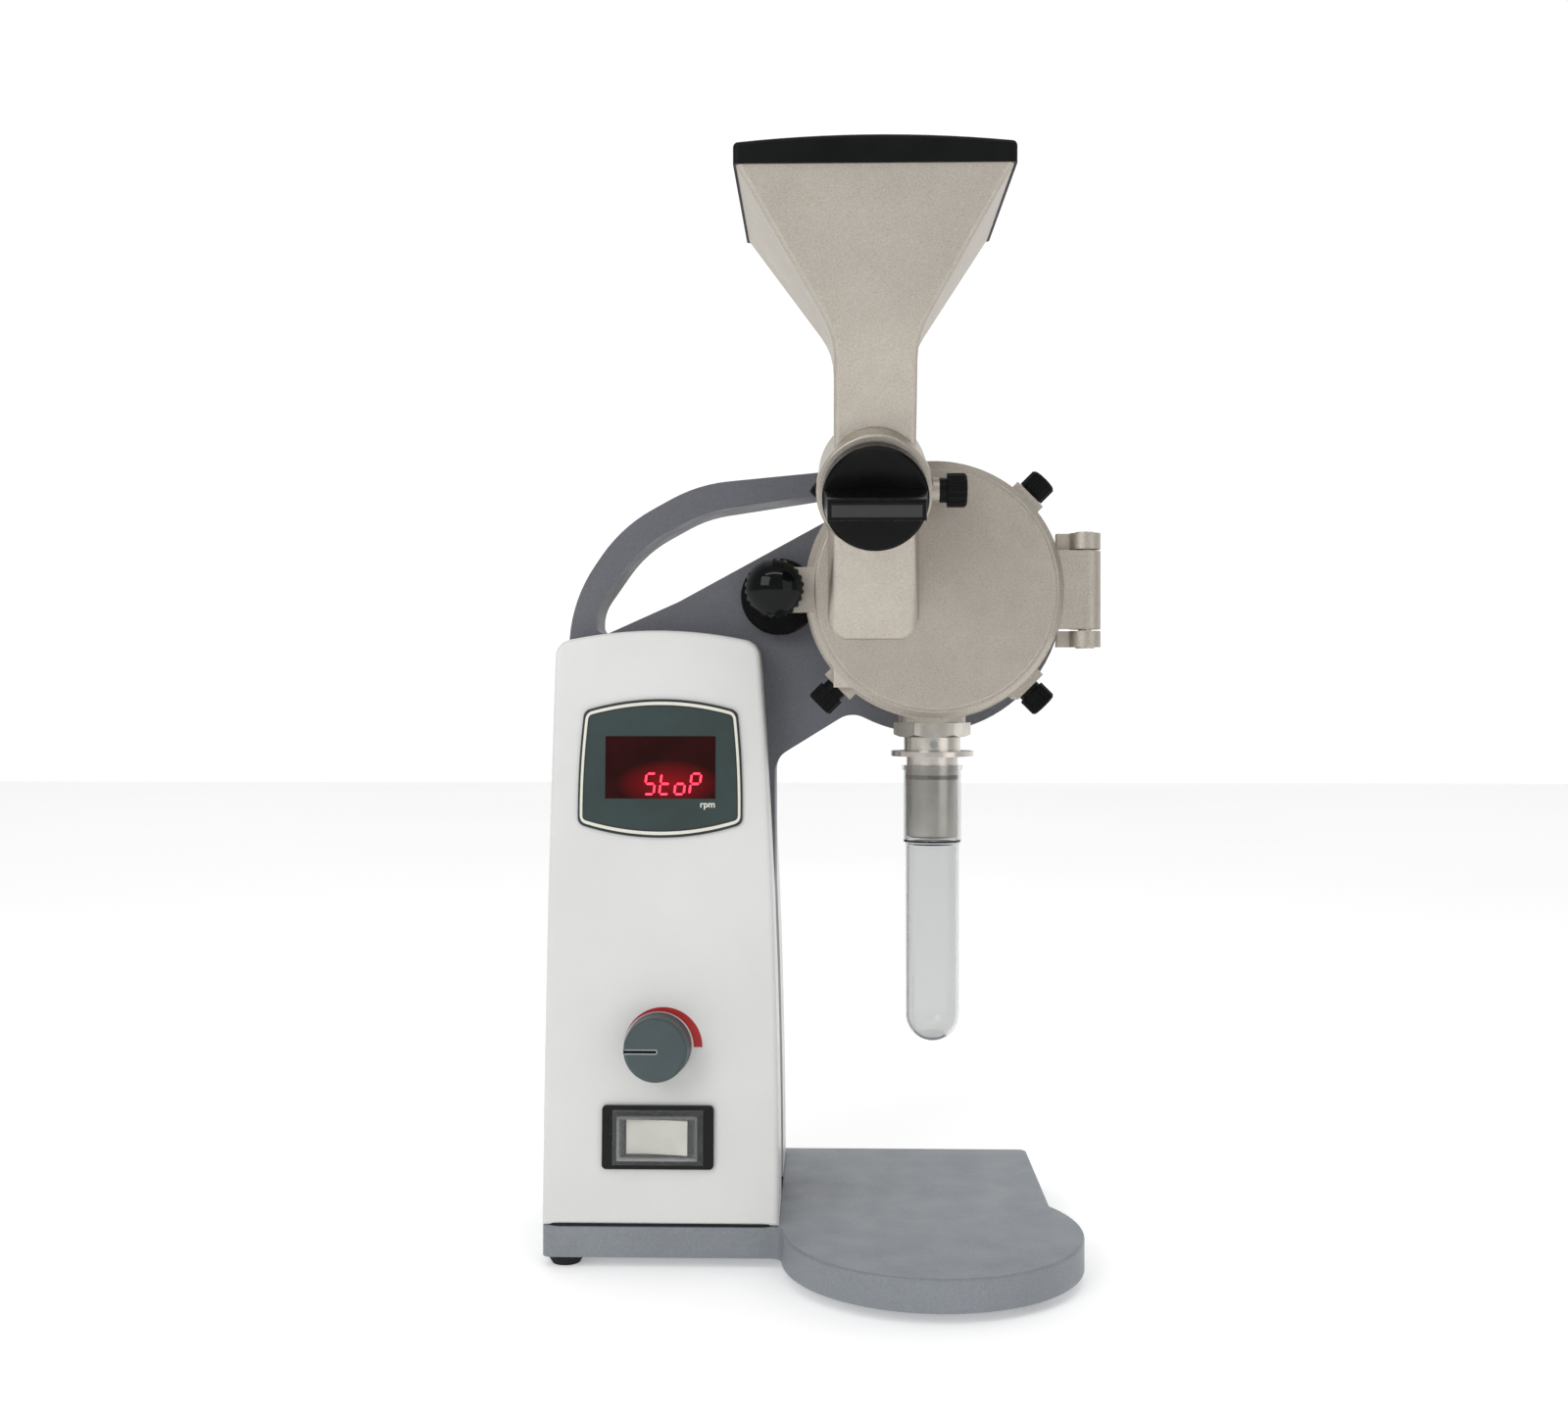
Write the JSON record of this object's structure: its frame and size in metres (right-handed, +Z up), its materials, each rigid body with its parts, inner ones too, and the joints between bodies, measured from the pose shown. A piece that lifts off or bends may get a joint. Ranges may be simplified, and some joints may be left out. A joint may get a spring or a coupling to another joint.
{
  "type": "analytical lab mill",
  "caption": "Bench mill with a grinding chamber on a C-shaped stand, a hinged cover with hopper and feed knob, and a test tube under the outlet.",
  "frame": {"origin": "on the bench, under the middle of the mill's bounding box", "axes": "+Z is up, +X is to the right seen from the front, +Y is away from the user"},
  "size_m": [0.254, 0.272, 0.4947],
  "materials": {
    "frame_paint": "powder coat, satin",
    "shell": "light grey, slightly glossy",
    "rubber": "black, matt",
    "bezel": "dark grey green film",
    "window": "dark red, smooth",
    "board": "circuit board",
    "grey_knob": "dark grey",
    "black_plastic": "black, glossy",
    "white_plastic": "white",
    "clear_cap": "clear soft cap",
    "cast_aluminium": "bead blasted",
    "turned_steel": "turned",
    "steel": "plain",
    "black_metal": "laminated",
    "copper": "wound core",
    "tube_glass": "clear"
  },
  "bodies": {
    "frame": {"base_plate": "frame_paint", "frame_screws": "steel", "foot_1": "rubber", "foot_2": "rubber", "foot_3": "rubber", "foot_4": "rubber", "frame_upright": "frame_paint", "front_housing": "shell", "rear_housing": "shell", "display_bezel": "bezel", "display_window": "window", "display_board": "board", "speed_potentiometer": "steel", "switch_body": "black_plastic", "splash_cap": "clear_cap", "control_board": "board", "mains_inlet": "black_plastic", "bearing_flange": "cast_aluminium", "front_bearing": "steel", "rear_bearing": "steel", "shaft_seal": "rubber", "chamber_bowl": "cast_aluminium", "chamber_screws": "steel", "sieve_ring": "steel", "hinge_pin": "turned_steel", "interlock_socket": "black_plastic", "outlet_nut": "turned_steel", "outlet_spigot": "turned_steel", "tube_ring": "rubber", "outlet_set_screw": "steel", "motor_case": "frame_paint", "stator": "black_metal", "motor_cap": "frame_paint"},
    "rotor": {"rotor_shaft": "steel", "grinding_rotor": "steel", "rotor_nut": "steel", "armature": "copper", "motor_fan": "black_plastic"},
    "cover": {"cover": "cast_aluminium", "cover_gasket": "rubber", "hopper": "cast_aluminium"},
    "lid": {"hopper_lid": "black_plastic"},
    "feed": {"feed_plug": "white_plastic", "feed_knob": "black_plastic"},
    "feed_screw": {"feed_thumbscrew": "black_plastic"},
    "lock_slider": {"lock_washer": "turned_steel"},
    "lock": {"lock_knob": "black_plastic", "spindle_clip": "steel"},
    "speed": {"speed_knob": "grey_knob"},
    "switch": {"rocker": "white_plastic"},
    "tube": {"test_tube": "tube_glass"},
    "pad_1": {"clamp_pad_1": "steel"},
    "thumb_1": {"thumbscrew_1": "black_plastic"},
    "pad_2": {"clamp_pad_2": "steel"},
    "thumb_2": {"thumbscrew_2": "black_plastic"},
    "pad_3": {"clamp_pad_3": "steel"},
    "thumb_3": {"thumbscrew_3": "black_plastic"},
    "pad_4": {"clamp_pad_4": "steel"},
    "thumb_4": {"thumbscrew_4": "black_plastic"}
  },
  "joints": [
    {"name": "rotor_spin", "type": "hinge", "parent": "frame", "child": "rotor", "pos_m": [0.0525, 0, 0.311], "axis": [0, -1, 0], "continuous": true},
    {"name": "cover_hinge", "type": "hinge", "parent": "frame", "child": "cover", "pos_m": [0.12, -0.066, 0.311], "axis": [0, 0, 1], "range_deg": [0, 110]},
    {"name": "lid_lift", "type": "slide", "parent": "cover", "child": "lid", "axis": [0, 0, 1], "range_m": [0, 0.04]},
    {"name": "feed_turn", "type": "hinge", "parent": "cover", "child": "feed", "pos_m": [0.0251, -0.1037, 0.3505], "axis": [0, 0.9444, 0.3289], "range_deg": [0, 90]},
    {"name": "feed_screw_turn", "type": "hinge", "parent": "cover", "child": "feed_screw", "pos_m": [0.054, -0.09803, 0.35247], "axis": [1, 0, 0], "range_deg": [0, 180]},
    {"name": "lock_slide", "type": "slide", "parent": "cover", "child": "lock_slider", "axis": [0, -1, 0], "range_m": [0, 0.008]},
    {"name": "lock_turn", "type": "hinge", "parent": "lock_slider", "child": "lock", "pos_m": [-0.0185, -0.0776, 0.311], "axis": [0, -1, 0], "range_deg": [0, 721]},
    {"name": "speed_turn", "type": "hinge", "parent": "frame", "child": "speed", "pos_m": [-0.0735, -0.04476, 0.10153], "axis": [0, 0.9976, -0.0698], "range_deg": [0, 180]},
    {"name": "switch_tip", "type": "hinge", "parent": "frame", "child": "switch", "pos_m": [-0.0735, -0.04268, 0.05969], "axis": [0, 0.0698, 0.9976], "range_deg": [0, 12]},
    {"name": "tube_slide", "type": "slide", "parent": "frame", "child": "tube", "axis": [0, 0, -1], "range_m": [0, 0.06]},
    {"name": "pad_slide_1", "type": "slide", "parent": "frame", "child": "pad_1", "axis": [0.7071, 0, 0.7071], "range_m": [0, 0.002]},
    {"name": "thumb_turn_1", "type": "hinge", "parent": "pad_1", "child": "thumb_1", "pos_m": [0.09606, -0.046, 0.35456], "axis": [0.7071, 0, 0.7071], "range_deg": [0, 721]},
    {"name": "pad_slide_2", "type": "slide", "parent": "frame", "child": "pad_2", "axis": [-0.7071, 0, 0.7071], "range_m": [0, 0.002]},
    {"name": "thumb_turn_2", "type": "hinge", "parent": "pad_2", "child": "thumb_2", "pos_m": [0.00894, -0.046, 0.35456], "axis": [-0.7071, 0, 0.7071], "range_deg": [0, 721]},
    {"name": "pad_slide_3", "type": "slide", "parent": "frame", "child": "pad_3", "axis": [-0.7071, 0, -0.7071], "range_m": [0, 0.002]},
    {"name": "thumb_turn_3", "type": "hinge", "parent": "pad_3", "child": "thumb_3", "pos_m": [0.00894, -0.046, 0.26744], "axis": [-0.7071, 0, -0.7071], "range_deg": [0, 721]},
    {"name": "pad_slide_4", "type": "slide", "parent": "frame", "child": "pad_4", "axis": [0.7071, 0, -0.7071], "range_m": [0, 0.002]},
    {"name": "thumb_turn_4", "type": "hinge", "parent": "pad_4", "child": "thumb_4", "pos_m": [0.09606, -0.046, 0.26744], "axis": [0.7071, 0, -0.7071], "range_deg": [0, 721]}
  ],
  "couplings": [
    {"joint": "lock_turn", "follows": "lock_slide", "rad_per_m": 1570.8},
    {"joint": "thumb_turn_1", "follows": "pad_slide_1", "rad_per_m": 6283.2},
    {"joint": "thumb_turn_2", "follows": "pad_slide_2", "rad_per_m": 6283.2},
    {"joint": "thumb_turn_3", "follows": "pad_slide_3", "rad_per_m": 6283.2},
    {"joint": "thumb_turn_4", "follows": "pad_slide_4", "rad_per_m": 6283.2}
  ]
}
